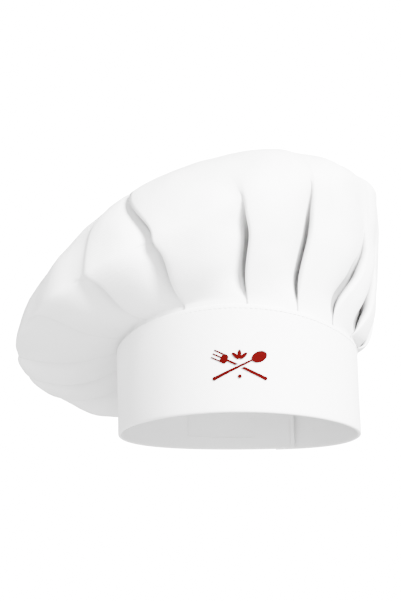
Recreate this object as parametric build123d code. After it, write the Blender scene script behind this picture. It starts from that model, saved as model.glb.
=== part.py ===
"""Pleated chef toque: a stiffened head band with a hook-and-loop closure and a soft full crown.

Frame: millimetres, +Z up. The origin is the centre of the head opening in the plane of the band's
lower edge, where the hat stands. The front faces -Y, and the crown leans over towards -X.
A heading is an angle round the band in degrees: 0 at the front, 90 at +X, 180 at the back.
"""
from build123d import *
import os
from math import cos, radians, sin

# Cloth and stiffening
CLOTH = 0.6
STIFFENER = 1.2
BAND_THICKNESS = CLOTH + STIFFENER + CLOTH
CROWN_CLOTH = 0.9
SEAM_SPACE = 0.1

# Head band: outer half sizes in plan
BAND_HALF_WIDTH = 87.5
BAND_HALF_DEPTH = 100.0
BAND_HEIGHT = 66.0
STIFFENER_TOP = 52.0
CROWN_START = -184.0
CROWN_END = 158.0

# Closure at the back: the band's end lies over the other end, and a tab carries on from it
UNDERLAP_END = -210.0
BAND_END = 162.0
TAB_ROOT = 162.4
TAB_TIP = 214.0
TAB_BOTTOM = 3.0
TAB_TOP = 44.0
TAB_CORNER = 7.0
STEP_START = 95.0
STEP_END = 148.0
TAPE = 1.2
TAPE_CLEARANCE = 0.3
OVERLAP_STEP = TAPE + TAPE_CLEARANCE + TAPE + BAND_THICKNESS

# Hook and loop tapes
TAPE_BOTTOM = 10.0
TAPE_TOP = 37.0
HOOK_START = 172.0
HOOK_END = 210.0
LOOP_START = -189.0
LOOP_END = -147.5

# Crown: it rises from the seam, bulges out to its widest ring, and closes over the top point
LIP = 4.0
BULGE_X = -28.0
BULGE_Y = 5.0
BULGE_HALF_WIDTH = 135.0
BULGE_HALF_DEPTH = 132.0
BULGE_HEIGHT = 118.0
BULGE_RISE_RIGHT = 58.0
TOP_POINT = (10.0, 18.0, 213.0)
SHOULDER_POWER = 1.17
DROOP = 34.0
DROOP_HEADING = -138.0
DROOP_POWER = 3

# Placket: a hemmed slit in the crown above the closure
SLIT_X = 18.0
SLIT_HALF_WIDTH = 8.0
SLIT_TIP_RADIUS = 2.5
SLIT_TOP = 100.0
SLIT_BOTTOM = 45.0
SLIT_HEM = 4.0

# Sewing thread
THREAD = 0.3
THREAD_WIDTH = 0.5
THREAD_ANGLE = 0.3
SEAM_MARGIN = 3.0

# Embroidery on the front of the band
EMBLEM_X = 3.5
EMBLEM_Z = 30.5
EMBLEM_LENGTH = 38.0
EMBLEM_TILT = 26.0
EMBLEM_RELIEF = 0.5
EMBLEM_SPACE = 0.3

RING_POINTS = 36
STEP_POINTS = 9
CROWN_LEVELS = [1, 1.06, 1.14, 1.25, 1.4, 1.55, 1.7, 1.85, 2]
CROWN_LEVELS += [2.15, 2.3, 2.45, 2.6, 2.73, 2.85, 2.94]


def smooth(value, start, end):
    """0 before start, 1 after end, and a gentle S between them."""
    share = min(1.0, max(0.0, (value - start) / (end - start)))
    return share * share * (3 - 2 * share)


def plan_point(heading, offset):
    """A point in plan, offset outwards from the ellipse of the band's outer face."""
    angle = radians(heading)
    return Vector(
        (BAND_HALF_WIDTH + offset) * sin(angle), -(BAND_HALF_DEPTH + offset) * cos(angle)
    )


def plan_arc(start, end, offset):
    """Part of an ellipse in plan between two headings."""
    half_width = BAND_HALF_WIDTH + offset
    half_depth = BAND_HALF_DEPTH + offset
    return EllipticalCenterArc((0, 0), half_width, half_depth, start - 90, arc_size=end - start)


def plan_curve(start, end, offset):
    """The band's line in plan. It steps outwards at the back, to pass over its other end."""
    parts = []
    if start < STEP_START:
        parts.append(plan_arc(start, min(end, STEP_START), offset))
    if start < STEP_END and end > STEP_START:
        low = max(start, STEP_START)
        high = min(end, STEP_END)
        headings = [low + (high - low) * i / (STEP_POINTS - 1) for i in range(STEP_POINTS)]
        steps = [OVERLAP_STEP * smooth(h, STEP_START, STEP_END) for h in headings]
        parts.append(Spline(*[plan_point(h, offset + s) for h, s in zip(headings, steps)]))
    if end > STEP_END:
        parts.append(plan_arc(max(start, STEP_END), end, offset + OVERLAP_STEP))
    return parts


def strip(start, end, inner, outer, bottom, top):
    """An upright strip that follows the band between two headings and two offsets."""
    outer_parts = plan_curve(start, end, outer)
    inner_parts = plan_curve(start, end, inner)
    start_edge = Line(outer_parts[0] @ 0, inner_parts[0] @ 0)
    end_edge = Line(outer_parts[-1] @ 1, inner_parts[-1] @ 1)
    outline = make_face([*outer_parts, end_edge, *inner_parts, start_edge])
    return Pos(0, 0, bottom) * extrude(outline, amount=top - bottom)


def frame_strip(start, end, inner, outer, bottom, top):
    """A rectangular line of stitching that lies on the strip between two headings."""
    whole = strip(start, end, inner, outer, bottom, top)
    hole = strip(
        start + THREAD_ANGLE,
        end - THREAD_ANGLE,
        inner - 1,
        outer + 1,
        bottom + THREAD_WIDTH,
        top - THREAD_WIDTH,
    )
    return whole - hole


def make_band_cloth():
    """One strip of cloth folded up at the lower edge, with a pocket for the stiffener."""
    outside = strip(UNDERLAP_END, BAND_END, -BAND_THICKNESS, 0, 0, BAND_HEIGHT)
    pocket = strip(
        UNDERLAP_END + 1,
        BAND_END - 1,
        CLOTH - BAND_THICKNESS,
        -CLOTH,
        CLOTH,
        BAND_HEIGHT + CLOTH,
    )
    return outside - pocket


def make_band_interfacing():
    return strip(
        UNDERLAP_END + 1,
        BAND_END - 1,
        CLOTH - BAND_THICKNESS,
        -CLOTH,
        CLOTH,
        STIFFENER_TOP,
    )


def tab_outline():
    """The tab's outline with a rounded free end, as a solid that stands through the tab."""
    tip = plan_point(TAB_TIP, OVERLAP_STEP)
    root = plan_point(TAB_ROOT, OVERLAP_STEP)
    width = root.X - tip.X + 2 * TAB_CORNER
    height = TAB_TOP - TAB_BOTTOM
    plate = Plane.XZ * Rectangle(width, height)
    block = extrude(plate, amount=BAND_HALF_DEPTH, both=True)
    corners = block.edges().filter_by(Axis.Y).group_by(Axis.X)[0]
    block = fillet(corners, TAB_CORNER)
    return Pos(tip.X + width / 2, BAND_HALF_DEPTH, (TAB_TOP + TAB_BOTTOM) / 2) * block


def make_closure_tab():
    """The free tab: cloth wrapped round its own stiffener."""
    tab = strip(TAB_ROOT, TAB_TIP, -BAND_THICKNESS, 0, TAB_BOTTOM, TAB_TOP)
    core = tab_core()
    return (tab & tab_outline()) - core


def tab_core():
    return strip(
        TAB_ROOT + 3,
        TAB_TIP - 5,
        CLOTH - BAND_THICKNESS,
        -CLOTH,
        TAB_BOTTOM + 3,
        TAB_TOP - 3,
    )


def make_hook_tape():
    inner = -BAND_THICKNESS - TAPE
    return strip(HOOK_START, HOOK_END, inner, -BAND_THICKNESS, TAPE_BOTTOM, TAPE_TOP)


def make_loop_tape():
    return strip(LOOP_START, LOOP_END, 0, TAPE, TAPE_BOTTOM, TAPE_TOP)


def make_tab_stitches():
    """Edge stitching on the tab's outer face."""
    return frame_strip(TAB_ROOT + 2, TAB_TIP - 4.5, 0, THREAD, TAB_BOTTOM + 3, TAB_TOP - 3)


def make_hook_tape_stitches():
    """The stitching that holds the hook tape, as it shows on the tab's outer face."""
    return frame_strip(HOOK_START + 1, HOOK_END - 1, 0, THREAD, TAPE_BOTTOM + 1, TAPE_TOP - 1)


def make_loop_tape_stitches():
    """The stitching that holds the loop tape, as it shows inside the band."""
    return frame_strip(
        LOOP_START + 1,
        LOOP_END - 1,
        -BAND_THICKNESS - THREAD,
        -BAND_THICKNESS,
        TAPE_BOTTOM + 1,
        TAPE_TOP - 1,
    )


def make_underlap_stitches():
    """The row that closes the band's inner end."""
    row = UNDERLAP_END + 2
    inner = -BAND_THICKNESS - THREAD
    top = BAND_HEIGHT - SEAM_MARGIN
    return strip(row, row + THREAD_ANGLE, inner, -BAND_THICKNESS, SEAM_MARGIN, top)


def make_crown_seam_stitches():
    """The row inside the band that holds the crown's gathered edge in the pocket."""
    top = BAND_HEIGHT - SEAM_MARGIN
    inner = -BAND_THICKNESS - THREAD
    return strip(CROWN_START, CROWN_END, inner, -BAND_THICKNESS, top - THREAD_WIDTH, top)


def make_crown_allowance():
    """The crown's gathered edge, tucked into the band's pocket above the stiffener."""
    inner = CLOTH - BAND_THICKNESS
    return strip(CROWN_START, CROWN_END, inner, -CLOTH, STIFFENER_TOP, BAND_HEIGHT)


def crown_plan(heading):
    """Where the crown stands on the band's upper edge. Behind the slit it steps back in."""
    step = smooth(heading, STEP_START, STEP_END) - smooth(heading, BAND_END, BAND_END + 12)
    return plan_point(heading, OVERLAP_STEP * step - CLOTH)


def crown_point(heading, level):
    """The crown's outer face. Level 0 to 1 is upright at the seam, 1 to 2 is the side up to the
    widest ring, and 2 to 3 is the top."""
    angle = radians(heading)
    edge = crown_plan(heading)
    edge_top = BAND_HEIGHT + LIP
    if level <= 1:
        return Vector(edge.X, edge.Y, BAND_HEIGHT + SEAM_SPACE + (LIP - SEAM_SPACE) * level)
    wide_x = BULGE_X + BULGE_HALF_WIDTH * sin(angle)
    wide_y = BULGE_Y - BULGE_HALF_DEPTH * cos(angle)
    wide_z = BULGE_HEIGHT + BULGE_RISE_RIGHT * sin(angle)
    if level <= 2:
        turn = radians(90 * (level - 1))
        out = sin(turn)
        up = 1 - cos(turn)
        near = max(0.0, cos(angle - radians(DROOP_HEADING))) ** DROOP_POWER
        return Vector(
            edge.X + (wide_x - edge.X) * out,
            edge.Y + (wide_y - edge.Y) * out,
            edge_top + (wide_z - edge_top) * up - DROOP * near * sin(2 * turn),
        )
    turn = radians(90 * (level - 2))
    out = cos(turn) ** SHOULDER_POWER
    up = sin(turn) ** SHOULDER_POWER
    top_x, top_y, top_z = TOP_POINT
    return Vector(
        top_x + (wide_x - top_x) * out,
        top_y + (wide_y - top_y) * out,
        wide_z + (top_z - wide_z) * up,
    )


def crown_inset(heading, level, inset):
    """A point set in from the crown's outer face, square to it."""
    point = crown_point(heading, level)
    if level <= 1:
        angle = radians(heading)
        away = Vector(sin(angle) / BAND_HALF_WIDTH, -cos(angle) / BAND_HALF_DEPTH)
    else:
        around = crown_point(heading + 0.5, level) - crown_point(heading - 0.5, level)
        upward = crown_point(heading, level + 0.01) - crown_point(heading, level - 0.01)
        away = around.cross(upward)
    return point - away.normalized() * inset


def crown_solid(inset, levels):
    """The crown as a filled shape, set in from the outer face."""
    rings = []
    for level in levels:
        headings = [360 * i / RING_POINTS for i in range(RING_POINTS)]
        points = [crown_inset(h if h <= 174 else h - 360, level, inset) for h in headings]
        rings.append(Wire([Edge.make_spline(points, periodic=True)]))
    top_x, top_y, top_z = TOP_POINT
    return Solid.make_loft([*rings, Vertex(top_x, top_y, top_z - inset)], ruled=True)


def slit_shape(margin):
    """The slit's outline, grown by a margin, as a solid that cuts the crown's back wall."""
    radius = SLIT_TIP_RADIUS + margin
    half = SLIT_HALF_WIDTH + margin
    centre = SLIT_TOP - SLIT_TIP_RADIUS
    left = (SLIT_X - half, SLIT_BOTTOM)
    right = (SLIT_X + half, SLIT_BOTTOM)
    tip_left = (SLIT_X - radius, centre)
    tip_right = (SLIT_X + radius, centre)
    sides = Polyline(tip_left, left, right, tip_right)
    tip = ThreePointArc(tip_right, (SLIT_X, centre + radius), tip_left)
    flat = Plane.XZ * make_face([sides, tip])
    return Pos(0, BAND_HALF_DEPTH * 1.35, 0) * extrude(flat, amount=BAND_HALF_DEPTH * 0.5, both=True)


def make_crown_cloth_and_hem():
    """The crown cloth, and the hem that finishes its slit."""
    outer = crown_solid(0, [0, *CROWN_LEVELS])
    inner = crown_solid(CROWN_CLOTH, [-0.1, *CROWN_LEVELS])
    shell = outer - inner
    hem = (shell & slit_shape(SLIT_HEM)) - slit_shape(0)
    cloth = shell - slit_shape(SLIT_HEM)
    return Compound([*cloth.solids(), *make_crown_allowance().solids()]), hem


def on_band_front(motif):
    """A flat motif laid on the band's curved front face as raised embroidery."""
    through = Pos(EMBLEM_X, -BAND_HALF_DEPTH, EMBLEM_Z) * extrude(
        Plane.XZ * motif, amount=BAND_HALF_DEPTH / 4, both=True
    )
    return through & strip(-30, 30, 0, EMBLEM_RELIEF, 0, STIFFENER_TOP)


def spoon_motif():
    """A spoon with a slender handle that widens at its end."""
    bowl = Pos(EMBLEM_LENGTH / 2 - 5.2, 0) * Ellipse(5.2, 3.5)
    handle = Polygon(
        (EMBLEM_LENGTH / 2 - 8, 0.55),
        (-EMBLEM_LENGTH / 2 + 1.3, 1.15),
        (-EMBLEM_LENGTH / 2 + 1.3, -1.15),
        (EMBLEM_LENGTH / 2 - 8, -0.55),
        align=None,
    )
    knob = Pos(-EMBLEM_LENGTH / 2 + 1.3, 0) * Circle(1.3)
    return bowl + handle + knob


def fork_motif():
    """A fork with three tines."""
    head = Pos(EMBLEM_LENGTH / 2 - 8.2, 0) * RectangleRounded(4.6, 6.2, 2.0)
    tine = RectangleRounded(7.4, 1.0, 0.45)
    tines = [Pos(EMBLEM_LENGTH / 2 - 3.7, y) * tine for y in (-2.5, 0, 2.5)]
    roots = Pos(EMBLEM_LENGTH / 2 - 7.0, 0) * Rectangle(1.8, 5.9)
    handle = Polygon(
        (EMBLEM_LENGTH / 2 - 9.5, 0.7),
        (-EMBLEM_LENGTH / 2 + 1.3, 1.15),
        (-EMBLEM_LENGTH / 2 + 1.3, -1.15),
        (EMBLEM_LENGTH / 2 - 9.5, -0.7),
        align=None,
    )
    knob = Pos(-EMBLEM_LENGTH / 2 + 1.3, 0) * Circle(1.3)
    return head + roots + tines + handle + knob


def leaf_motif():
    """Three small leaves above the crossing and one berry below it."""
    leaf = Pos(0, 3.4) * Ellipse(1.25, 3.0)
    leaves = [Pos(0, 4.2) * Rot(0, 0, turn) * leaf for turn in (-48, 0, 48)]
    berry = Pos(0, -6.6) * Circle(1.3)
    return leaves[0] + leaves[1] + leaves[2] + berry


def make_emblem():
    """Crossed spoon and fork with a sprig. The spoon lies over the fork."""
    spoon = Rot(0, 0, EMBLEM_TILT) * spoon_motif()
    clear = Rot(0, 0, EMBLEM_TILT) * Rectangle(EMBLEM_LENGTH / 2, 2.6 + 2 * EMBLEM_SPACE)
    fork = Rot(0, 0, 180 - EMBLEM_TILT) * fork_motif() - clear
    return on_band_front(spoon), on_band_front(fork), on_band_front(leaf_motif())


def main():
    crown_cloth, slit_hem = make_crown_cloth_and_hem()
    emblem_spoon, emblem_fork, emblem_sprig = make_emblem()
    nodes = {
        "crown_cloth": crown_cloth,
        "slit_hem": slit_hem,
        "band_cloth": make_band_cloth(),
        "band_interfacing": make_band_interfacing(),
        "closure_tab": make_closure_tab(),
        "tab_interfacing": tab_core(),
        "hook_tape": make_hook_tape(),
        "loop_tape": make_loop_tape(),
        "crown_seam_stitches": make_crown_seam_stitches(),
        "underlap_stitches": make_underlap_stitches(),
        "tab_stitches": make_tab_stitches(),
        "hook_tape_stitches": make_hook_tape_stitches(),
        "loop_tape_stitches": make_loop_tape_stitches(),
        "emblem_spoon": emblem_spoon,
        "emblem_fork": emblem_fork,
        "emblem_sprig": emblem_sprig,
    }
    os.makedirs("parts", exist_ok=True)
    for name, shape in nodes.items():
        export_step(shape, f"parts/{name}.step")


main()
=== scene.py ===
# The looks of a pleated chef toque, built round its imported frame. Metres, +Z up, front faces -Y.
# A heading is an angle round the band in degrees: 0 at the front, 90 at +X, 180 at the back.

import math

import bmesh
import bpy
from mathutils import Matrix, Vector, noise


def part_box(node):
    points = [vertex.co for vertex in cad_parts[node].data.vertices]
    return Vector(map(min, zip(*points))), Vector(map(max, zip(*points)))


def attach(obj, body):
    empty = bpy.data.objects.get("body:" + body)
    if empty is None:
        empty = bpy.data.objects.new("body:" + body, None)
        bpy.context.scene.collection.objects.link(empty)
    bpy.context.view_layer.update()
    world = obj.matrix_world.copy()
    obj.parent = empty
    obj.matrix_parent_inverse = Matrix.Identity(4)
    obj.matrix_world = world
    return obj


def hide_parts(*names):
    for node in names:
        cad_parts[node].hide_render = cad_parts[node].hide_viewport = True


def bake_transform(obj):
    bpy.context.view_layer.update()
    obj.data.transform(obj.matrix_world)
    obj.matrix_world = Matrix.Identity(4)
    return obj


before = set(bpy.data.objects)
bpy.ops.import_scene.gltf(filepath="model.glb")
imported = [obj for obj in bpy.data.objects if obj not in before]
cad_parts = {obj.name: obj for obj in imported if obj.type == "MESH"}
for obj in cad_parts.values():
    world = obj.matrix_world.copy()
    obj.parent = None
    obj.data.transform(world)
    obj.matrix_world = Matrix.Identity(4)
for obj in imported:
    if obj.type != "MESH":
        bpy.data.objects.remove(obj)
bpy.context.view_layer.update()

MM = 0.001

# Head band, as the frame has it, with the gentle arch that the crown's pull gives its two edges
BAND_HALF_WIDTH = 87.5 * MM
BAND_HALF_DEPTH = 100 * MM
BAND_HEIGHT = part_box("band_cloth")[1].z
BAND_THICKNESS = 2.4 * MM
TOP_ARCH = 5.5 * MM
LOWER_ARCH = 1.5 * MM
OVERLAP_STEP = 5.1 * MM
LEFT_FLARE = 2.5 * MM
STEP_START, STEP_END = 95, 148
UNDERLAP_END, BAND_END = -210, 162
TAB_ROOT, TAB_TIP = 162.4, 214
TAB_CORNER = 7 * MM
TAB_LOW, TAB_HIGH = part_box("closure_tab")
STITCH_INSET = 3 * MM
STITCH_LIFT = 0.1 * MM
STITCH_SHARE = 0.9

# Crown: its seam, its widest ring and its top point
LIP = 3 * MM
BULGE_CENTRE = (-29 * MM, 5 * MM)
BULGE_HALF = (137 * MM, 132 * MM)
BULGE_HEIGHT = 118 * MM
BULGE_RISE_RIGHT = 58 * MM
TOP_POINT = (8 * MM, 16 * MM, 215 * MM)
SHOULDER_POWER = 1.15
LEFT_SLOPE = 0.14
DROOP = 42 * MM
DROOP_HEADING = -138
CROWN_CLOTH = 0.6 * MM
SLIT_LENGTH = 36 * MM
SLIT_HALF_ANGLE = 4.6

HEM_RADIUS = 1.1 * MM

# Unevenness of the crown: how often it changes per metre, and its height in mm
SOFT_SCALE, SOFT_HEIGHT = 17, 4.0
FINE_SCALE, FINE_HEIGHT = 55, 1.2
SWELL = 0.22

# Levels run from 0 at the seam to 1 at the widest ring and 2 at the top. Each pleat: heading of
# its fold at the seam, how far the fold leans round on its way up and back again over the
# shoulder, in degrees, the level where the sharp fold ends, and its depth in mm
PLEATS = [
    (-168, 0, 0, 0.6, 4.5),
    (-142, 4, 0, 0.7, 5.5),
    (-119, 14, 0, 0.65, 6.5),
    (-105, 11, 0, 0.7, 6.5),
    (-87, 5, 0, 1.0, 8.0),
    (-67, 17, 10, 0.8, 8.5),
    (-44, 15, 8, 0.8, 9.0),
    (-22, 13, 19, 1.4, 8.5),
    (6, 10, 5, 0.95, 8.5),
    (29, 8, 0, 0.9, 8.0),
    (50, 17, 4, 0.7, 9.5),
    (69, 10, 0, 0.6, 9.0),
    (88, 2, 0, 0.7, 6.0),
    (109, 0, 0, 0.8, 5.5),
    (130, 0, 0, 0.8, 5.5),
    (150, 0, 0, 0.7, 4.5),
]
# How far a panel runs under the next one, in degrees
PLEAT_REACH = 9
HEADING_STEP = 12


def smooth(value, start, end):
    """0 before start, 1 after end, and a gentle S between them."""
    share = min(1.0, max(0.0, (value - start) / (end - start)))
    return share * share * (3 - 2 * share)


def band_step(heading):
    """How far the band has moved outwards, so that its end passes over the other end."""
    return OVERLAP_STEP * smooth(heading, STEP_START, STEP_END)


def plan(heading, offset):
    """A point in plan, offset outwards from the band's outer face."""
    angle = math.radians(heading)
    return (
        (BAND_HALF_WIDTH + offset) * math.sin(angle),
        -(BAND_HALF_DEPTH + offset) * math.cos(angle),
    )


def top_edge(heading):
    return BAND_HEIGHT + TOP_ARCH * math.cos(2 * math.radians(heading))


def lower_edge(heading):
    return LOWER_ARCH * math.cos(2 * math.radians(heading))


def new_object(name, vertices, faces, uvs=None, shades=None):
    """A mesh object from points and faces, with one UV per point where they are given."""
    mesh = bpy.data.meshes.new(name)
    mesh.from_pydata(vertices, [], faces)
    if uvs:
        layer = mesh.uv_layers.new(name="UVMap")
        for loop in mesh.loops:
            layer.data[loop.index].uv = uvs[loop.vertex_index]
    # shades: the amount of painted shade at each point, kept as the fold_shade attribute.
    if shades:
        mesh.attributes.new("fold_shade", "FLOAT", "POINT").data.foreach_set("value", shades)
    mesh.validate()
    piece = bpy.data.objects.new(name, mesh)
    bpy.context.scene.collection.objects.link(piece)
    for face in mesh.polygons:
        face.use_smooth = True
    return piece


def select_only(piece):
    bpy.ops.object.select_all(action="DESELECT")
    piece.select_set(True)
    bpy.context.view_layer.objects.active = piece


def apply_modifier(piece, kind, **settings):
    select_only(piece)
    modifier = piece.modifiers.new(kind.title(), kind)
    for key, value in settings.items():
        setattr(modifier, key, value)
    bpy.ops.object.modifier_apply(modifier=modifier.name)


def outward(piece):
    """Merges doubles and turns every face outwards."""
    made = bmesh.new()
    made.from_mesh(piece.data)
    bmesh.ops.remove_doubles(made, verts=made.verts, dist=1e-6)
    bmesh.ops.recalc_face_normals(made, faces=made.faces)
    made.to_mesh(piece.data)
    made.free()


def add_tube(vertices, faces, path, radius, sides=6):
    """Adds a closed round strand that follows the path."""
    first = len(vertices)
    for i, point in enumerate(path):
        ahead = path[min(i + 1, len(path) - 1)] - path[max(i - 1, 0)]
        ahead.normalize()
        across = ahead.orthogonal() if abs(ahead.z) > 0.95 else ahead.cross(Vector((0, 0, 1)))
        across.normalize()
        over = across.cross(ahead)
        near_end = 0.55 if i in (0, len(path) - 1) else 1
        for j in range(sides):
            turn = 2 * math.pi * j / sides
            spoke = across * math.cos(turn) + over * math.sin(turn)
            vertices.append(point + spoke * radius * near_end)
    for i in range(len(path) - 1):
        for j in range(sides):
            a, b = first + i * sides + j, first + i * sides + (j + 1) % sides
            faces.append((a, b, b + sides, a + sides))
    faces.append(tuple(first + j for j in range(sides)))
    last = first + (len(path) - 1) * sides
    faces.append(tuple(last + j for j in reversed(range(sides))))


def make_tube(name, path, radius, sides=8):
    vertices, faces = [], []
    add_tube(vertices, faces, path, radius, sides)
    piece = new_object(name, vertices, faces)
    outward(piece)
    return piece


def make_stitches(name, path, outward_of, length=2.4 * MM, gap=0.9 * MM, radius=0.22 * MM):
    """Separate stitches along a line of points, each a little arc of thread lying on the cloth."""
    vertices, faces = [], []
    measures = [0.0]
    for i in range(1, len(path)):
        measures.append(measures[-1] + (path[i] - path[i - 1]).length)

    def at(distance):
        for i in range(1, len(path)):
            if distance <= measures[i] or i == len(path) - 1:
                share = (distance - measures[i - 1]) / max(1e-9, measures[i] - measures[i - 1])
                return path[i - 1].lerp(path[i], min(1.0, share))

    number = int(measures[-1] / (length + gap))
    for k in range(number):
        start = k * (length + gap)
        strand = []
        for m, lift in ((0, -0.3), (0.2, 0.5), (0.5, 0.8), (0.8, 0.5), (1, -0.3)):
            point = at(start + length * m)
            strand.append(point + outward_of(point) * radius * lift)
        add_tube(vertices, faces, strand, radius)
    piece = new_object(name, vertices, faces)
    outward(piece)
    return piece


def flat_outward(point):
    """The way out of the band at a point on it."""
    return Vector((point.x / BAND_HALF_WIDTH ** 2, point.y / BAND_HALF_DEPTH ** 2, 0)).normalized()


# ---------------------------------------------------------------- materials


def new_group(name, inputs, outputs):
    group = bpy.data.node_groups.new(name, "ShaderNodeTree")
    for label, kind, value in inputs:
        made = group.interface.new_socket(name=label, in_out="INPUT", socket_type=kind)
        if value is not None:
            made.default_value = value
    for label, kind in outputs:
        group.interface.new_socket(name=label, in_out="OUTPUT", socket_type=kind)
    return group, group.nodes.new("NodeGroupInput"), group.nodes.new("NodeGroupOutput")


def math_node(nodes, links, operation, first, second=None):
    node = nodes.new("ShaderNodeMath")
    node.operation = operation
    for index, value in enumerate((first, second)):
        if value is None:
            continue
        if isinstance(value, (int, float)):
            node.inputs[index].default_value = value
        else:
            links.new(value, node.inputs[index])
    return node.outputs[0]


def make_twill_group():
    """Diagonal ribs of a twill with its crossing yarns, as a height from 0 to 1."""
    group, start, end = new_group(
        "twill_weave",
        [("Vector", "NodeSocketVector", None), ("Yarns per metre", "NodeSocketFloat", 1600.0)],
        [("Height", "NodeSocketFloat")],
    )
    nodes, links = group.nodes, group.links
    parts = nodes.new("ShaderNodeSeparateXYZ")
    links.new(start.outputs["Vector"], parts.inputs[0])
    slant = math_node(nodes, links, "ADD", parts.outputs[0], parts.outputs[1])
    ribs = math_node(nodes, links, "MULTIPLY", slant, start.outputs["Yarns per metre"])
    ribs = math_node(nodes, links, "MULTIPLY", ribs, math.pi)
    ribs = math_node(nodes, links, "SINE", ribs)
    yarns = math_node(nodes, links, "MULTIPLY", parts.outputs[0], start.outputs["Yarns per metre"])
    yarns = math_node(nodes, links, "MULTIPLY", yarns, 2 * math.pi)
    yarns = math_node(nodes, links, "SINE", yarns)
    both = math_node(nodes, links, "MULTIPLY", yarns, 0.4)
    both = math_node(nodes, links, "ADD", ribs, both)
    both = math_node(nodes, links, "MULTIPLY", both, 0.35)
    links.new(math_node(nodes, links, "ADD", both, 0.5), end.inputs["Height"])
    return group


def make_mottle_group():
    """Soft uneven colour and creasing of washed and pressed cotton."""
    group, start, end = new_group(
        "cloth_mottle",
        [
            ("Vector", "NodeSocketVector", None),
            ("Light", "NodeSocketColor", (1, 1, 1, 1)),
            ("Dark", "NodeSocketColor", (0.9, 0.9, 0.9, 1)),
            ("Scale", "NodeSocketFloat", 30.0),
        ],
        [("Color", "NodeSocketColor"), ("Height", "NodeSocketFloat")],
    )
    nodes, links = group.nodes, group.links
    cloud = nodes.new("ShaderNodeTexNoise")
    cloud.inputs["Detail"].default_value = 6
    cloud.inputs["Roughness"].default_value = 0.6
    links.new(start.outputs["Vector"], cloud.inputs["Vector"])
    links.new(start.outputs["Scale"], cloud.inputs["Scale"])
    mix = nodes.new("ShaderNodeMix")
    mix.data_type = "RGBA"
    links.new(cloud.outputs["Fac"], mix.inputs["Factor"])
    links.new(start.outputs["Dark"], mix.inputs["A"])
    links.new(start.outputs["Light"], mix.inputs["B"])
    links.new(mix.outputs["Result"], end.inputs["Color"])
    links.new(cloud.outputs["Fac"], end.inputs["Height"])
    return group


TWILL = make_twill_group()
MOTTLE = make_mottle_group()


def make_cloth(
    name, light, dark, yarns, weave_depth, crease_depth, roughness=0.85, uv=True, fold_shade=None
):
    """Woven cloth: mottled colour, weave and faint creases in the bump. Given a fold_shade colour,
    it also paints shade: that colour is mixed in where the mesh's fold_shade attribute is set.
    """
    material = bpy.data.materials.new(name)
    material.use_nodes = True
    nodes, links = material.node_tree.nodes, material.node_tree.links
    shader = nodes["Principled BSDF"]
    shader.inputs["Roughness"].default_value = roughness
    shader.inputs["Specular IOR Level"].default_value = 0.25
    shader.inputs["Sheen Weight"].default_value = 0.15
    shader.inputs["Sheen Roughness"].default_value = 0.5
    place = nodes.new("ShaderNodeTexCoord")
    mottle = nodes.new("ShaderNodeGroup")
    mottle.node_tree = MOTTLE
    mottle.inputs["Light"].default_value = (*light, 1)
    mottle.inputs["Dark"].default_value = (*dark, 1)
    mottle.inputs["Scale"].default_value = 28
    links.new(place.outputs["Object"], mottle.inputs["Vector"])
    # Painted shade: the cloth's colour turns to the fold_shade grey as far as the fold_shade
    # attribute says.
    if fold_shade:
        fold = nodes.new("ShaderNodeAttribute")
        fold.attribute_name = "fold_shade"
        shade = nodes.new("ShaderNodeMix")
        shade.data_type = "RGBA"
        shade.inputs["B"].default_value = (*fold_shade, 1)
        links.new(fold.outputs["Fac"], shade.inputs["Factor"])
        links.new(mottle.outputs["Color"], shade.inputs["A"])
        links.new(shade.outputs["Result"], shader.inputs["Base Color"])
    else:
        links.new(mottle.outputs["Color"], shader.inputs["Base Color"])
    weave = nodes.new("ShaderNodeGroup")
    weave.node_tree = TWILL
    weave.inputs["Yarns per metre"].default_value = yarns
    links.new(place.outputs["UV" if uv else "Object"], weave.inputs["Vector"])
    crease = nodes.new("ShaderNodeBump")
    crease.inputs["Strength"].default_value = 0.6
    crease.inputs["Distance"].default_value = crease_depth
    links.new(mottle.outputs["Height"], crease.inputs["Height"])
    bump = nodes.new("ShaderNodeBump")
    bump.inputs["Strength"].default_value = 0.7
    bump.inputs["Distance"].default_value = weave_depth
    links.new(weave.outputs["Height"], bump.inputs["Height"])
    links.new(crease.outputs["Normal"], bump.inputs["Normal"])
    links.new(bump.outputs["Normal"], shader.inputs["Normal"])
    return material


def make_thread(name, light, dark, roughness, twists, shine):
    """Twisted thread: fine slanting plies across the strand."""
    material = bpy.data.materials.new(name)
    material.use_nodes = True
    nodes, links = material.node_tree.nodes, material.node_tree.links
    shader = nodes["Principled BSDF"]
    shader.inputs["Roughness"].default_value = roughness
    shader.inputs["Specular IOR Level"].default_value = shine
    place = nodes.new("ShaderNodeTexCoord")
    turn = nodes.new("ShaderNodeMapping")
    turn.inputs["Rotation"].default_value = (0, math.radians(35), 0)
    links.new(place.outputs["Object"], turn.inputs["Vector"])
    wave = nodes.new("ShaderNodeTexWave")
    wave.inputs["Scale"].default_value = twists
    wave.inputs["Distortion"].default_value = 1.2
    wave.inputs["Detail"].default_value = 2
    links.new(turn.outputs["Vector"], wave.inputs["Vector"])
    mix = nodes.new("ShaderNodeMix")
    mix.data_type = "RGBA"
    mix.inputs["A"].default_value = (*dark, 1)
    mix.inputs["B"].default_value = (*light, 1)
    links.new(wave.outputs["Fac"], mix.inputs["Factor"])
    links.new(mix.outputs["Result"], shader.inputs["Base Color"])
    bump = nodes.new("ShaderNodeBump")
    bump.inputs["Strength"].default_value = 0.8
    bump.inputs["Distance"].default_value = 0.00012
    links.new(wave.outputs["Fac"], bump.inputs["Height"])
    links.new(bump.outputs["Normal"], shader.inputs["Normal"])
    return material


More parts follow.
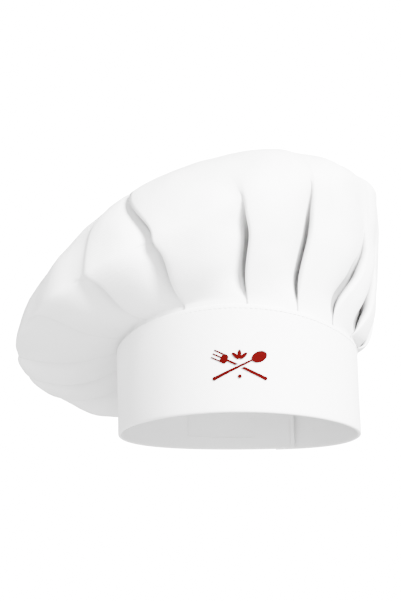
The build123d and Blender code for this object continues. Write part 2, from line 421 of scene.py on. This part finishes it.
def make_tape(name, light, dark, cells):
    """Hook or loop tape: a fine field of separate hooks or brushed loops."""
    material = bpy.data.materials.new(name)
    material.use_nodes = True
    nodes, links = material.node_tree.nodes, material.node_tree.links
    shader = nodes["Principled BSDF"]
    shader.inputs["Roughness"].default_value = 0.6
    place = nodes.new("ShaderNodeTexCoord")
    field = nodes.new("ShaderNodeTexVoronoi")
    field.inputs["Scale"].default_value = cells
    links.new(place.outputs["Object"], field.inputs["Vector"])
    mix = nodes.new("ShaderNodeMix")
    mix.data_type = "RGBA"
    mix.inputs["A"].default_value = (*light, 1)
    mix.inputs["B"].default_value = (*dark, 1)
    links.new(field.outputs["Distance"], mix.inputs["Factor"])
    links.new(mix.outputs["Result"], shader.inputs["Base Color"])
    bump = nodes.new("ShaderNodeBump")
    bump.inputs["Distance"].default_value = 0.0006
    links.new(field.outputs["Distance"], bump.inputs["Height"])
    links.new(bump.outputs["Normal"], shader.inputs["Normal"])
    return material


# The crown's cloth carries a painted shade: a dark grey mixed into its colour inside the folds.
CROWN_TWILL = make_cloth(
    "crown_twill", (0.8, 0.8, 0.8), (0.75, 0.75, 0.75), 1300, 0.00008, 0.0012,
    fold_shade=(0.22, 0.22, 0.22),
)
BAND_TWILL = make_cloth("band_twill", (0.81, 0.81, 0.81), (0.78, 0.78, 0.78), 1300, 0.00008, 0.0005)
INTERFACING = make_cloth(
    "interfacing", (0.85, 0.85, 0.83), (0.7, 0.7, 0.68), 700, 0.0001, 0.0003, uv=False
)
THREAD = make_thread("sewing_thread", (0.92, 0.92, 0.91), (0.75, 0.75, 0.74), 0.6, 900, 0.3)
RED_THREAD = make_thread(
    "embroidery_thread", (0.04, 0.0003, 0.0006), (0.018, 0.0001, 0.0003), 0.8, 420, 0.02
)
HOOKS = make_tape("hook_tape", (0.9, 0.9, 0.9), (0.6, 0.6, 0.6), 900)
LOOPS = make_tape("loop_tape", (0.93, 0.93, 0.93), (0.72, 0.72, 0.72), 1400)


def finish_piece(piece, material, body="hat"):
    piece.data.materials.clear()
    piece.data.materials.append(material)
    if body:
        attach(piece, body)
    return piece


# ---------------------------------------------------------------- band


def wall_profile(rows):
    """Points round a folded strip's section, as (offset, share of height), anticlockwise."""
    half = BAND_THICKNESS / 2
    fold, lower, upper = 0.02, 0.03, 0.97
    points = []
    for i in range(rows + 1):
        points.append((0.0, upper - (upper - lower) * i / rows))
    for i in range(1, 8):
        turn = math.pi * i / 8
        points.append((-half + half * math.cos(turn), fold - fold * math.sin(turn)))
    for i in range(rows + 1):
        points.append((-BAND_THICKNESS, lower + (upper - lower) * i / rows))
    for i in range(1, 6):
        turn = math.pi * i / 6
        points.append((-half - half * math.cos(turn), 0.985 + 0.015 * math.sin(turn)))
    return points


def band_ripple(heading, share):
    """The small unevenness of a pressed and stiffened strip."""
    angle = math.radians(heading)
    place = Vector((math.sin(angle) * 3, math.cos(angle) * 3, share))
    return 0.5 * MM * noise.noise(place * 1.3) * smooth(share, -0.1, 0.5)


def band_flare(heading, share):
    """The left side of the band leans out a little, towards the flop that hangs from it."""
    return LEFT_FLARE * share * max(0.0, -math.sin(math.radians(heading))) ** 2


def sweep_wall(name, start, end, spacing, low, high, step=band_step, rows=14):
    """A folded strip that follows the band, with closed rounded ends."""
    profile = wall_profile(rows)
    count = max(2, round((end - start) / spacing))
    vertices, uvs, faces = [], [], []
    for i in range(count + 1):
        heading = start + (end - start) * i / count
        near = min(i, count - i) / 4
        pinch = min(1.0, 0.4 + 0.6 * near)
        for offset, share in profile:
            middle = -BAND_THICKNESS / 2
            thin = middle + (offset - middle) * pinch
            out = thin + step(heading) + band_flare(heading, share)
            x, y = plan(heading, out + band_ripple(heading, share))
            z = low(heading) + (high(heading) - low(heading)) * share
            vertices.append((x, y, z))
            uvs.append((math.radians(heading) * BAND_HALF_DEPTH, z))
    ring = len(profile)
    for i in range(count):
        for j in range(ring):
            a, b = i * ring + j, i * ring + (j + 1) % ring
            faces.append((a, b, b + ring, a + ring))
    faces.append(tuple(range(ring)))
    faces.append(tuple(reversed(range(count * ring, (count + 1) * ring))))
    piece = new_object(name, vertices, faces, uvs)
    outward(piece)
    return piece


def make_band():
    band = sweep_wall("band_cloth_sewn", UNDERLAP_END, BAND_END, 2, lower_edge, top_edge)
    finish_piece(band, BAND_TWILL)
    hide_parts("band_cloth", "band_interfacing")


def tab_end_inset(heading):
    """How much the tab's rounded corners take off its edges at a heading."""
    left = max(0.0, (TAB_TIP - heading) * math.radians(1) * BAND_HALF_DEPTH)
    if left >= TAB_CORNER:
        return 0.0
    return TAB_CORNER - math.sqrt(TAB_CORNER ** 2 - (TAB_CORNER - left) ** 2)


def tab_low(heading):
    return TAB_LOW.z + tab_end_inset(heading)


def tab_high(heading):
    return TAB_HIGH.z - tab_end_inset(heading)


def full_step(heading):
    return OVERLAP_STEP


def make_tab():
    tab = sweep_wall(
        "closure_tab_sewn", TAB_ROOT, TAB_TIP, 0.8, tab_low, tab_high, step=full_step, rows=12
    )
    finish_piece(tab, BAND_TWILL, body=None)
    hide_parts("closure_tab")
    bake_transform(tab)


def band_line(start, end, height):
    """Points on the band's outer face along a line at a height that depends on the heading."""
    points = []
    count = max(2, int(abs(end - start)))
    for i in range(count + 1):
        heading = start + (end - start) * i / count
        out = STITCH_LIFT + band_step(heading) + band_ripple(heading, STITCH_SHARE)
        x, y = plan(heading, out)
        points.append(Vector((x, y, height(heading))))
    return points


def tab_line(inset):
    """A line round the tab, this far inside its edge."""
    tip = TAB_TIP - math.degrees(inset / BAND_HALF_DEPTH)
    points = []
    for heading in range(int(TAB_ROOT) + 5, int(tip) - 2, 2):
        points.append((heading, TAB_LOW.z + inset))
    points.append((tip - 1.2, TAB_LOW.z + inset + 0.6 * MM))
    points.append((tip, TAB_LOW.z + inset + 3 * MM))
    points.append((tip, TAB_HIGH.z - inset - 3 * MM))
    points.append((tip - 1.2, TAB_HIGH.z - inset - 0.6 * MM))
    for heading in range(int(tip) - 3, int(TAB_ROOT) + 4, -2):
        points.append((heading, TAB_HIGH.z - inset))
    return [Vector((*plan(h, OVERLAP_STEP + STITCH_LIFT), z)) for h, z in points]


def make_all_stitches():
    rows = [
        (
            "crown_seam_stitch_row",
            "crown_seam_stitches",
            "hat",
            band_line(-208, 158, lambda h: top_edge(h) - STITCH_INSET),
        ),
        ("tab_stitch_row", "tab_stitches", "tab", tab_line(STITCH_INSET)),
    ]
    for name, node, body, path in rows:
        row = make_stitches(name, path, flat_outward)
        finish_piece(row, THREAD, body)
        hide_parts(node)


# ---------------------------------------------------------------- crown

# A pleat's section: share of the pitch and depth, along the panel that shows
RING_LAYOUT = [
    (0.0, -0.08),
    (0.02, -0.14),
    (0.07, -0.14),
    (0.15, -0.09),
    (0.25, -0.04),
    (0.35, 0.0),
    (0.45, 0.05),
    (0.55, 0.12),
    (0.65, 0.22),
    (0.75, 0.4),
    (0.83, 0.6),
    (0.9, 0.8),
    (0.96, 0.98),
    (1.0, 1.08),
]
# The same for the cloth folded under the next panel: share of the reach and depth
UNDER_LAYOUT = [(0.3, 1.14), (0.8, 1.12), (1, 1.02), (0.8, 0.92), (0.4, 0.8), (0.08, 0.6), (0, 0.2)]
SLIT_SHARE = 0.45
SEAM_DEPTH = 1.0
COLUMN_COUNT = [len(RING_LAYOUT) + len(UNDER_LAYOUT)] * len(PLEATS)
COLUMN_COUNT[-1] += 1
COLUMN_START = [sum(COLUMN_COUNT[:i]) for i in range(len(PLEATS))]


def crown_base(heading, level):
    """The crown's outer form. Level 0 to 1 climbs from the seam to the widest ring, and 1 to 2
    goes on to the top point."""
    angle = math.radians(heading)
    wrapped = (heading + 192) % 360 - 192
    step = band_step(wrapped) - OVERLAP_STEP * smooth(wrapped, BAND_END, BAND_END + 6)
    edge_x, edge_y = plan(heading, step - BAND_THICKNESS / 2)
    edge_z = top_edge(heading) + LIP
    wide_x = BULGE_CENTRE[0] + BULGE_HALF[0] * math.sin(angle)
    wide_y = BULGE_CENTRE[1] - BULGE_HALF[1] * math.cos(angle)
    wide_z = BULGE_HEIGHT + BULGE_RISE_RIGHT * math.sin(angle)
    if level <= 0:
        return Vector((edge_x, edge_y, edge_z + level * 0.12))
    if level <= 1:
        turn = math.radians(90 * level)
        steep = smooth(math.cos(angle - math.radians(5)), 0.15, 0.95)
        out = math.sin(turn) ** (1 + 0.6 * steep - 0.4 * smooth(math.sin(angle), 0.5, 1))
        up = (1 - steep) * (1 - math.cos(turn)) + steep * level
        near = max(0.0, math.cos(angle - math.radians(DROOP_HEADING))) ** 3
        return Vector(
            (
                edge_x + (wide_x - edge_x) * out,
                edge_y + (wide_y - edge_y) * out,
                edge_z + (wide_z - edge_z) * up - DROOP * near * math.sin(2 * turn),
            )
        )
    turn = math.radians(90 * (level - 1))
    power = SHOULDER_POWER + LEFT_SLOPE * smooth(-math.sin(angle), -0.2, 0.8)
    out = max(0.0, math.cos(turn)) ** power
    up = max(0.0, math.sin(turn)) ** power
    return Vector(
        (
            TOP_POINT[0] + (wide_x - TOP_POINT[0]) * out,
            TOP_POINT[1] + (wide_y - TOP_POINT[1]) * out,
            wide_z + (TOP_POINT[2] - wide_z) * up,
        )
    )


def crown_normal(heading, level):
    around = crown_base(heading + 1, level) - crown_base(heading - 1, level)
    upward = crown_base(heading, level + 0.02) - crown_base(heading, level - 0.02)
    away = around.cross(upward)
    return away.normalized()


LEVELS = [-0.06, -0.03, 0.0] + [0.02 + 0.98 * (i / 26) ** 1.15 for i in range(27)]
LEVELS += [1 + 0.985 * i / 24 for i in range(1, 25)]


def level_distances(heading):
    """How far each level is from the seam along the cloth, in millimetres."""
    total, before, found = 0.0, None, []
    for level in LEVELS:
        point = crown_base(heading, level)
        if before is not None and level > 0:
            total += (point - before).length
        before = point
        found.append(total / MM)
    return found


def crown_columns():
    """Every column of the crown's mesh: its pleat, share of the pitch, depth and kind."""
    columns = []
    for index in range(len(PLEATS)):
        for x, d in RING_LAYOUT:
            if index == len(PLEATS) - 1 and abs(x - SLIT_SHARE) < 0.01:
                columns.append((index, x, d, "slit left"))
                columns.append((index, x, d, "slit right"))
            else:
                columns.append((index, x, d, "panel"))
        for x, d in UNDER_LAYOUT:
            columns.append((index, x, d, "under"))
    return columns


def fold_heading(index, level):
    """Where a pleat's fold is at this level. The pleats go once round, to the slit."""
    turn, place = divmod(index, len(PLEATS))
    heading, lean, back, _, _ = PLEATS[place]
    return heading + 360 * turn + lean * smooth(level, 0, 0.75) - back * smooth(level, 1, 1.5)


def slit_half_angle(along):
    """Half of the slit's width in degrees, at this many millimetres above the seam."""
    return SLIT_HALF_ANGLE * math.sqrt(max(0.0, 1 - along / (SLIT_LENGTH / MM)))


def nearest_heading(heading):
    """The nearest heading at which distances along the cloth are known."""
    nearest = round(heading / HEADING_STEP) * HEADING_STEP % 360
    return nearest - 360 if nearest > 192 else nearest


def make_crown():
    """The pleated crown. Each panel passes under the fold of the next one, and the folds open
    and fade on the way up."""
    columns = crown_columns()
    distances = {h: level_distances(h) for h in range(-168, 193, HEADING_STEP)}
    vertices, uvs, shades, faces = [], [], [], []
    slit_edges = {"slit left": [], "slit right": []}
    count = len(columns)
    for row, level in enumerate(LEVELS):
        for index, (pleat, x, d, kind) in enumerate(columns):
            following = (pleat + 1) % len(PLEATS)
            crisp, depth = PLEATS[following][3:]
            left = fold_heading(pleat, level)
            pitch = fold_heading(pleat + 1, level) - left
            along = distances[nearest_heading(left + pitch * x)][row]
            opening = smooth(level, crisp * 0.45, crisp * 1.05)
            if kind == "under":
                where = 1 + x * PLEAT_REACH / pitch * (1 - 0.85 * opening)
            else:
                where = x
            spread = smooth(level, crisp * 0.9, crisp * 1.45)
            place = (index - COLUMN_START[pleat]) / COLUMN_COUNT[pleat]
            where += (place - where) * spread
            stand = SEAM_DEPTH + (depth - SEAM_DEPTH) * smooth(level, -0.02, 0.3)
            stand *= 1 - 0.75 * smooth(level, crisp * 0.7, crisp * 1.15)
            stand *= 1 - smooth(level, crisp * 1.05, crisp * 1.6)
            head = left + pitch * where
            if pleat == len(PLEATS) - 1 and kind != "under":
                open_by = slit_half_angle(max(0.0, along))
                side = -1 if kind == "slit left" or x < SLIT_SHARE - 0.01 else 1
                head += side * open_by * max(0.0, 1 - abs(x - SLIT_SHARE) / 0.3)
            point = crown_base(head, level)
            away = crown_normal(head, max(level, 0.03))
            swell = depth * SWELL * math.sin(math.pi * min(1.0, max(0.0, where)))
            swell *= smooth(level, 0.05, 0.5) * (1 - smooth(level, 1.1, 1.8))
            soft = noise.noise(Vector(point) * SOFT_SCALE) * SOFT_HEIGHT * smooth(level, 0.2, 1.0)
            fine = noise.noise(Vector(point) * FINE_SCALE) * FINE_HEIGHT * smooth(level, 0.1, 0.6)
            point = point + away * ((swell + soft + fine - d * stand) * MM)
            if kind in slit_edges and along < SLIT_LENGTH / MM and level >= 0:
                slit_edges[kind].append(point.copy())
            vertices.append(tuple(point))
            uvs.append(((pleat + place) * 0.105, along * MM))
            # Painted shade: the cloth tucked under each fold, and the last strip of the panel
            # before it, get a dark colour so the fold lines read as dark creases; this fades in
            # just above the seam and fades out as the fold opens higher up.
            painted_shade = 1.0 if kind == "under" and x > 0.05 else smooth(x, 0.97, 1.0)
            painted_shade *= smooth(level, 0.03, 0.12) * (1 - smooth(level, crisp * 0.6, crisp * 1.15))
            shades.append(painted_shade)
    rows = len(LEVELS)
    slit_column = [c[3] for c in columns].index("slit left")
    slit_rows = len(slit_edges["slit left"]) + LEVELS.index(0.0)
    for row in range(rows - 1):
        for index in range(count):
            if index == slit_column and row < slit_rows:
                continue
            following = (index + 1) % count
            a, b = row * count + index, row * count + following
            faces.append((a, b, b + count, a + count))
    top = len(vertices)
    centre = Vector((0, 0, 0))
    for index in range(count):
        centre += Vector(vertices[(rows - 1) * count + index])
    vertices.append(tuple(centre / count))
    uvs.append((0.8, 0.3))
    shades.append(0.0)
    for index in range(count):
        faces.append(((rows - 1) * count + index, (rows - 1) * count + (index + 1) % count, top))
    crown = new_object("crown_cloth_pleated", vertices, faces, uvs, shades)
    outward(crown)
    apply_modifier(crown, "SOLIDIFY", thickness=CROWN_CLOTH, offset=-1)
    finish_piece(crown, CROWN_TWILL)
    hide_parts("crown_cloth")
    hem_path = slit_edges["slit left"] + slit_edges["slit right"][::-1]
    hem = make_tube("slit_hem_rolled", hem_path, HEM_RADIUS)
    finish_piece(hem, CROWN_TWILL)
    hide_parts("slit_hem")


# ---------------------------------------------------------------- camera, light and floor


def make_camera():
    """A little below the hat and close to it, looking up at the front of the band."""
    data = bpy.data.cameras.new("camera")
    data.lens = 50.7
    camera = bpy.data.objects.new("camera", data)
    bpy.context.scene.collection.objects.link(camera)
    turn, pitch = math.radians(4.04), math.radians(16.63)
    camera.location = (0.0156, -0.6198, -0.0819)
    forward = Vector(
        (-math.sin(turn) * math.cos(pitch), math.cos(turn) * math.cos(pitch), math.sin(pitch))
    )
    camera.rotation_euler = forward.to_track_quat("-Z", "Y").to_euler()
    data.clip_start = 0.01
    data.clip_end = 50
    bpy.context.scene.camera = camera


def make_area(name, place, target, size, power):
    data = bpy.data.lights.new(name, "AREA")
    data.size = size
    data.energy = power
    lamp = bpy.data.objects.new(name, data)
    lamp.location = place
    lamp.rotation_euler = (Vector(target) - Vector(place)).to_track_quat("-Z", "Y").to_euler()
    bpy.context.scene.collection.objects.link(lamp)


def make_world():
    """A white sweep behind the hat, with a softer light from it."""
    world = bpy.data.worlds.new("studio")
    bpy.context.scene.world = world
    world.use_nodes = True
    nodes, links = world.node_tree.nodes, world.node_tree.links
    light = nodes["Background"]
    light.inputs["Color"].default_value = (1, 1, 1, 1)
    light.inputs["Strength"].default_value = 0.95
    sweep = nodes.new("ShaderNodeBackground")
    sweep.inputs["Color"].default_value = (1, 1, 1, 1)
    sweep.inputs["Strength"].default_value = 20
    path = nodes.new("ShaderNodeLightPath")
    mix = nodes.new("ShaderNodeMixShader")
    links.new(path.outputs["Is Camera Ray"], mix.inputs["Fac"])
    links.new(light.outputs[0], mix.inputs[1])
    links.new(sweep.outputs[0], mix.inputs[2])
    links.new(mix.outputs[0], nodes["World Output"].inputs["Surface"])


def make_floor():
    bpy.ops.object.select_all(action="DESELECT")
    bpy.ops.mesh.primitive_circle_add(vertices=96, radius=3.2, fill_type="NGON", location=(0, 0, 0))
    floor = bpy.context.object
    floor.name = "floor"
    floor.data.transform(Matrix.Translation((0, 0, -0.35)))
    material = bpy.data.materials.new("floor_paint")
    material.use_nodes = True
    nodes, links = material.node_tree.nodes, material.node_tree.links
    shader = nodes["Principled BSDF"]
    shader.inputs["Roughness"].default_value = 0.9
    place = nodes.new("ShaderNodeTexCoord")
    cloud = nodes.new("ShaderNodeTexNoise")
    cloud.inputs["Scale"].default_value = 3
    links.new(place.outputs["Object"], cloud.inputs["Vector"])
    mix = nodes.new("ShaderNodeMix")
    mix.data_type = "RGBA"
    mix.inputs["A"].default_value = (0.42, 0.42, 0.42, 1)
    mix.inputs["B"].default_value = (0.46, 0.46, 0.46, 1)
    links.new(cloud.outputs["Fac"], mix.inputs["Factor"])
    links.new(mix.outputs["Result"], shader.inputs["Base Color"])
    floor.data.materials.append(material)


make_camera()
make_world()
make_area("key", (0.9, -1.2, 0.8), (0, 0, 0.1), 0.55, 330)
make_area("fill", (-0.9, -0.9, 0.2), (0, 0, 0.1), 0.8, 20)
make_floor()

make_band()
make_tab()
make_crown()
make_all_stitches()

for node, material in {
    "tab_interfacing": INTERFACING,
    "hook_tape": HOOKS,
    "loop_tape": LOOPS,
    "underlap_stitches": THREAD,
    "loop_tape_stitches": THREAD,
    "hook_tape_stitches": THREAD,
    "emblem_spoon": RED_THREAD,
    "emblem_fork": RED_THREAD,
    "emblem_sprig": RED_THREAD,
}.items():
    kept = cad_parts[node]
    kept.data.materials.clear()
    kept.data.materials.append(material)
